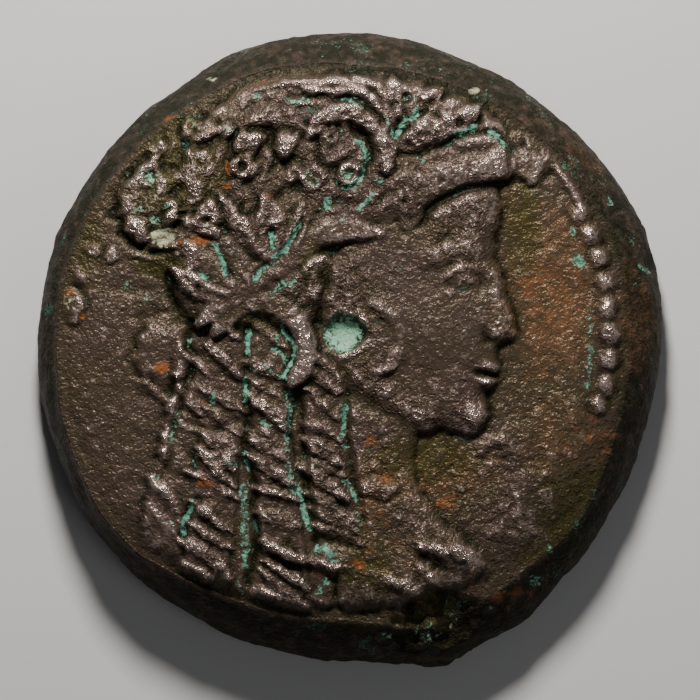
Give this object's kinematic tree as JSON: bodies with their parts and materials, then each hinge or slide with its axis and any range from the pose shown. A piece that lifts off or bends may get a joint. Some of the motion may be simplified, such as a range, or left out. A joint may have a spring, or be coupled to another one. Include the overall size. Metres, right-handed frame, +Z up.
{
  "type": "ancient bronze coin",
  "caption": "Thick ancient bronze coin, out of round with a bevelled edge; woman's head with corkscrew locks and grain wreath on one side, an eagle on the other.",
  "frame": {"origin": "middle of the bounding box at the level of the table the coin lies on", "axes": "+Z up out of the obverse, square to the coin; +Y towards the crown of the head; +X the way the head looks"},
  "size_m": [0.028, 0.0284, 0.005],
  "materials": {
    "bronze": "dark brown patina, worn semi-gloss on the high relief, verdigris in the deep lines"
  },
  "bodies": {
    "root": {"coin": "bronze"}
  },
  "joints": []
}
